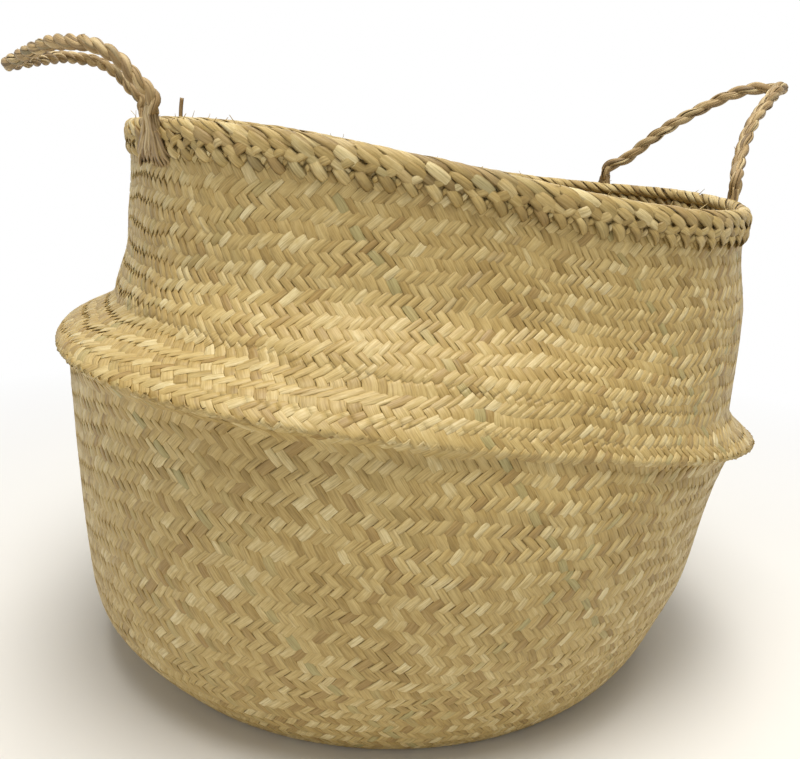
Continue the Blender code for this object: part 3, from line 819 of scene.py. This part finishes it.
def loop_path(handle):
    """Points along the middle of a handle's rope, from foot to foot."""
    first, second = (axis_spot(angle) for angle in handle_feet(handle.turn, handle.spread))
    across = unit(second - first)
    out = unit(np.cross(across, UP))
    up = np.cross(out, across)
    half = np.linalg.norm(second - first) / 2
    to_tip = np.array(handle.shares)
    from_tip = to_tip[-2::-1] * (-1, 1, 1)
    loop = np.concatenate([to_tip, from_tip]) * (-half, handle.reach, handle.rise)
    loop = loop + (0, 0, ROPE_STEM)
    table = np.concatenate([[(-half, 0.0, 0.0)], loop, [(half, 0.0, 0.0)]])
    knots = run_along(table)
    fine = smooth_between(np.linspace(0, 1, LOOP_SAMPLES), knots / knots[-1], table)
    return (first + second) / 2 + fine @ np.stack([across, out, up]), across


def carried_sides(path, across):
    """Two directions across a path, carried along it without twisting, and the path's run."""
    ahead = unit(np.gradient(path, axis=0))
    sides = []
    side = across
    for way in ahead:
        side = unit(side - way * np.dot(side, way))
        sides.append(side)
    return np.array(sides), np.cross(ahead, sides), run_along(path)


def rope_middle(handle):
    """The rope's middle line, run on a little into both feet, and the way from foot to foot."""
    path, across = loop_path(handle)
    tail = UP * ROPE_TAIL
    path = np.concatenate([[path[0] - tail], path, [path[-1] - tail]])
    run = run_along(path)
    even = np.linspace(0, run[-1], ROPE_SAMPLES)
    return np.stack([np.interp(even, run, path[:, i]) for i in range(3)], axis=-1), across


def ply_lines(path, across, foot_lay, bend_lay):
    """The middles of the two plies, wound right-handed round the rope's middle line."""
    sides, lifts, run = carried_sides(path, across)
    lay = foot_lay + (bend_lay - foot_lay) * np.sin(math.pi * run / run[-1]) ** 4
    twist = math.tau * np.cumsum(np.diff(run, prepend=0.0) / lay)
    twist = twist + 0.30 * slow_wander(1, len(run), 80)[0]
    swing = PLY_SWING * wavy(len(run), 0.10, 50)[:, None]
    offset = turned(sides, lifts, twist) * swing
    return path + offset, path - offset


def stray_fibre(root, way, length):
    """A thin fibre that stands off a straw and bends back at its end."""
    share = np.linspace(0, 1, 7)[:, None]
    bend = unit(random.normal(0, 1, 3)) * STRAY_BEND
    line = root + length * (unit(way) * share + bend * share ** 2)
    across = np.cross(way, random.normal(0, 1, 3))
    half_width = STRAY_HALF_WIDTH * (1 - 0.5 * share[:, 0])
    return leaf(line, across, half_width, STRAY_HALF_DEPTH, 0.6, 0.3)


def ply_straws(line, across, radius):
    """A ply's core and the straws laid round it, nearly along it, some broad and some thin."""
    sides, lifts, run = carried_sides(line, across)
    size = len(run)
    slim = 0.5 + 0.5 * np.clip(np.minimum(run, run[-1] - run) / PLY_EASE, 0, 1)
    core = (radius - PLY_CORE_INSET) * slim
    straws = [leaf(line, lifts, core, core, CORE_TONE, CORE_KIND)]
    for index in range(PLY_STRAWS):
        place = index / PLY_STRAWS + random.uniform(-0.04, 0.04)
        place = place + 0.03 * slow_wander(1, size, 60)[0]
        turn = math.tau * (place - run / STRAW_LAY)
        off = (radius - PLY_STRAW_INSET) * wavy(size, 0.07, 30) * slim
        facing = turned(sides, lifts, turn)
        width = random.uniform(*PLY_STRAW_HALF_WIDTHS) * MM * wavy(size, 0.25, 22) * slim
        kind = np.clip(random.normal(0.1, LEAF_KIND_SPREAD), -1, 1)
        tone = random.normal(0.50, LEAF_TONE_SPREAD) + 0.2 * slow_wander(1, size, 30)[0]
        centre = line + facing * off[:, None]
        straws.append(leaf(centre, facing, width, 0.4 * MM, np.clip(tone, 0, 1), kind))
    for spot in random.integers(10, size - 30, PLY_STRAYS):
        turn = random.uniform(0, math.tau)
        out = sides[spot] * math.cos(turn) + lifts[spot] * math.sin(turn)
        along = unit(line[spot + 1] - line[spot]) * random.choice([-1, 1])
        straws.append(stray_fibre(line[spot] + out * radius * 0.9, along + 0.45 * out,
                                  random.uniform(3, 7) * MM))
    return straws


def foot_leaf(run_0, start, end, length, outer, half_width, tone):
    """One straw of a rope end: down from the rope over the border, and tucked in below."""
    size = 17
    share = np.linspace(0, 1, size)
    neck = BORDER_PROUD + FOOT_SEAT + FOOT_THICKNESS / 2
    round_off = outer - 0.9 * MM * min(1.0, abs(start) / FOOT_LACING_NECK) ** 2
    fan = start + (end - start) * share ** 1.5
    curl = random.normal(0, 1.0 * MM) * np.sin(math.pi * share) ** 2
    rise = AXIS_RISE + random.uniform(-0.5, 2.0) * MM - length * share
    stand = np.interp(share, (0, 0.2, 0.5, 0.85, 1.0),
                      (neck + round_off, neck + round_off, BORDER_PROUD + 0.8 * MM + 0.6 * outer,
                       BORDER_PROUD - 0.4 * MM + 0.3 * outer, -0.9 * MM))
    centre, _, out = on_rim(run_0 + fan + curl, rise, stand)
    width = half_width * leaf_shape(size, 0.45) * wavy(size, 0.12, 9)
    return leaf(centre, out, width, FOOT_STRAW_HALF_DEPTH, np.clip(tone, 0, 1),
                random.normal(0.15, 0.3))


def foot_straws(angle, lean, reach):
    """The straws of a rope end: a fan down the outside of the border, laced by a few across it."""
    run_0 = rim_run_at(angle)
    full = FOOT_LENGTH + AXIS_RISE
    straws = []
    for outer, number, half_width, tone in FOOT_LAYERS:
        count = round(number * (0.4 + 0.6 * reach / (FOOT_HEM_WIDTH / 2)))
        for place in np.linspace(-1, 1, count) + random.uniform(-0.12, 0.12, count):
            straws.append(foot_leaf(run_0 + 0.25 * lean, FOOT_NECK * place, reach * place + lean,
                                    full * random.uniform(0.70, 0.88), outer,
                                    half_width * random.uniform(0.75, 1.25),
                                    random.normal(tone, LEAF_TONE_SPREAD)))
    for place in FOOT_LACING_PLACES:
        end = lean - reach * place + random.normal(0, 2 * MM)
        straws.append(foot_leaf(run_0, FOOT_LACING_NECK * place, end,
                                full * random.uniform(0.50, 0.75), FOOT_LACING_STAND,
                                random.uniform(1.0, 1.5) * MM, random.normal(0.45, 0.25)))
    for _ in range(FOOT_STRAYS):
        run = run_0 + random.uniform(-0.8, 0.8) * reach
        root, way, out = on_rim(np.array([run]), np.array([random.uniform(-12, 1) * MM]),
                                np.array([BORDER_PROUD + 1.2 * MM]))
        aim = out[0] + way[0] * random.uniform(-2, 2) + UP * random.uniform(-0.5, 1.2)
        straws.append(stray_fibre(root[0], aim, random.uniform(3, 6) * MM))
    return straws


def make_handles(material):
    """Both rope handles and their feet."""
    for handle in HANDLES:
        path, across = rope_middle(handle)
        for label, line in zip("ab", ply_lines(path, across, *ROPE_LAYS[handle.side])):
            name = f"{handle.side}_handle_ply_{label}"
            straws = ply_straws(line, across, PLY_RADII[handle.side])
            piece = straw_mesh(f"{name}_straws", straws)
            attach(dress(piece, material, name), f"{handle.side}_handle")
        angles = sorted(handle_feet(handle.turn, handle.spread), key=math.sin)
        for label, angle in zip(("front", "rear"), angles):
            name = f"{handle.side}_handle_foot_{label}"
            fan = FOOT_FANS.get((handle.side, label), (0.0, FOOT_HEM_WIDTH / 2))
            piece = straw_mesh(f"{name}_straws", foot_straws(angle, *fan))
            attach(dress(piece, material, name), "collar")


def make_border(material):
    """The roll and the laced band round the rim."""
    piece = straw_mesh("rim_roll_leaves", roll_leaves())
    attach(dress(piece, material, "rim_roll"), "collar")
    piece = straw_mesh("rim_band_leaves", band_leaves())
    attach(dress(piece, material, "rim_plait"), "collar")


def make_straw_end(material):
    """The straw end that was left standing on the rim."""
    share = np.linspace(0, 1, 9)
    run = np.full_like(share, rim_run_at(math.radians(STRAW_TURN)))
    stand = np.full_like(share, BORDER_PROUD - ROLL_DIAMETER / 2)
    centre, _, _ = on_rim(run, -STRAW_ROOT + (STRAW_HEIGHT + STRAW_ROOT) * share, stand)
    centre[:, 0] += STRAW_LEAN * share ** 2
    straw = leaf(centre, STRAW_FACING, 1.3 * MM, 0.5 * MM, CORE_TONE, ODD_KIND)
    piece = straw_mesh("straw_end_leaf", [straw])
    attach(dress(piece, material, "straw_end"), "collar")


def shows_background(tree):
    """One for the rays that show the plain background: the camera's, gloss's and glass's."""
    rays = add_node(tree, "ShaderNodeLightPath").outputs
    shows = rays["Is Camera Ray"]
    for ray in (rays["Is Glossy Ray"], rays["Is Transmission Ray"]):
        both = add_node(tree, "ShaderNodeMath", {"operation": "MAXIMUM"}, i0=shows, i1=ray)
        shows = both.outputs[0]
    return shows


# How far from the floor's middle the shadow may show, and from where the floor is all white
SHADOW_REACH = 0.25
WHITE_FROM = 0.75


def floor_material():
    """A matt pale floor that shows plain white away from the basket's shadow."""
    paint, tree, shader = start_material("matt studio floor")
    shader.inputs["Base Color"].default_value = linear("EAE9E6")
    shader.inputs["Roughness"].default_value = 0.9
    place = add_node(tree, "ShaderNodeNewGeometry").outputs["Position"]
    distance = add_node(tree, "ShaderNodeVectorMath", {"operation": "LENGTH"}, i0=place)
    far = add_node(tree, "ShaderNodeMapRange", i0=distance.outputs["Value"], i1=SHADOW_REACH,
                   i2=WHITE_FROM).outputs[0]
    share = add_node(tree, "ShaderNodeMath", {"operation": "MULTIPLY"}, i0=far,
                     i1=shows_background(tree))
    white = add_node(tree, "ShaderNodeEmission", Color=linear("FFFFFF"), Strength=1.0)
    both = add_node(tree, "ShaderNodeMixShader", i0=share.outputs[0], i1=shader.outputs[0],
                    i2=white.outputs[0])
    tree.links.new(both.outputs[0], tree.nodes["Material Output"].inputs["Surface"])
    return paint


LAMP_AIM = Vector((0.0, 0.0, 0.15))
FLOOR_SIZE = 12.0
# Each lamp's name, place, size, power and colour
LAMPS = (
    ("key", (0.07, -0.46, 1.76), 0.90, 22.0, "FFFBF4"),
    ("top", (0.12, -0.15, 1.85), 0.90, 11.0, "FFFBF4"),
    ("front", (0.00, -1.60, 0.10), 1.50, 2.9, "FFFDF8"),
    ("left", (-1.20, -0.90, 0.12), 1.00, 2.5, "FFFFFF"),
    ("back", (0.30, 1.30, 1.20), 1.20, 5.0, "FFFFFF"),
)


def set_stage():
    """A plain pale floor, soft studio light and a white background."""
    bpy.ops.mesh.primitive_plane_add(size=FLOOR_SIZE, location=(0.0, 0.0, 0.0))
    floor = bpy.context.object
    floor.name = "studio_floor"
    floor.data.materials.append(floor_material())
    for name, place, size, power, code in LAMPS:
        lamp = bpy.data.lights.new(name, "AREA")
        lamp.size = size
        lamp.energy = power
        lamp.color = linear(code)[:3]
        holder = bpy.data.objects.new(name, lamp)
        holder.location = place
        aim = LAMP_AIM - Vector(place)
        holder.rotation_euler = aim.to_track_quat("-Z", "Y").to_euler()
        bpy.context.scene.collection.objects.link(holder)
    world = bpy.data.worlds.new("studio")
    world.use_nodes = True
    tree = world.node_tree
    tree.nodes.clear()
    soft = add_node(tree, "ShaderNodeBackground", Color=linear("F7F6F2"), Strength=0.30)
    white = add_node(tree, "ShaderNodeBackground", Color=linear("FFFFFF"), Strength=1.0)
    both = add_node(tree, "ShaderNodeMixShader", i0=shows_background(tree),
                    i1=soft.outputs[0], i2=white.outputs[0])
    add_node(tree, "ShaderNodeOutputWorld", i0=both.outputs[0])
    bpy.context.scene.world = world


# The camera, fitted to the photograph: the image is 800 pixels wide
CAMERA_PLACE = (0.005, -0.545, 0.295)
CAMERA_PITCH = 14.3         # degrees down
CAMERA_ROLL = 1.7
PICTURE_WIDTH = 800
FOCAL_PIXELS = 903
SENSOR_WIDTH = 36.0


def set_camera():
    """The camera at the photograph's place and angle."""
    camera = bpy.data.cameras.new("camera")
    camera.sensor_fit = "HORIZONTAL"
    camera.sensor_width = SENSOR_WIDTH
    camera.lens = SENSOR_WIDTH * FOCAL_PIXELS / PICTURE_WIDTH
    camera.clip_start = 0.01
    pitch = Matrix.Rotation(math.radians(90 - CAMERA_PITCH), 4, "X")
    roll = Matrix.Rotation(math.radians(CAMERA_ROLL), 4, "Z")
    holder = bpy.data.objects.new("camera", camera)
    holder.matrix_world = Matrix.Translation(CAMERA_PLACE) @ pitch @ roll
    bpy.context.scene.collection.objects.link(holder)
    bpy.context.scene.camera = holder


dressed = bpy.data.collections.new("dressed_basket")
bpy.context.scene.collection.children.link(dressed)
# The plait presses its straws flat, so the wall is pale straw yellow with a soft gloss
wall_material = seagrass("plaited seagrass straw", WALL_STOPS, brown="A98C54", green="B0A876",
                         streaks=0.50, edge_shade=0.14, roughness=0.50, gloss=0.45)
# The border's leaves are folded and rubbed: duller and browner, with more painted shade darkening
# their edges where they meet
rim_material = seagrass("laced seagrass border", RIM_STOPS, brown="9A7E50", green="A89E74",
                        streaks=0.50, edge_shade=0.35, roughness=0.55, gloss=0.35)
# Twisting crumples the straws, so the ropes are greyish brown and their grain shows less
rope_material = seagrass("twisted seagrass rope", ROPE_STOPS, brown="94794F", green="9C9472",
                         streaks=0.35, edge_shade=0.15, roughness=0.55, gloss=0.40)

weave_wall(wall_material)
weave_floor(wall_material)
make_border(rim_material)
make_straw_end(rope_material)
make_handles(rope_material)
set_stage()
set_camera()
bpy.context.scene.view_settings.view_transform = "Standard"
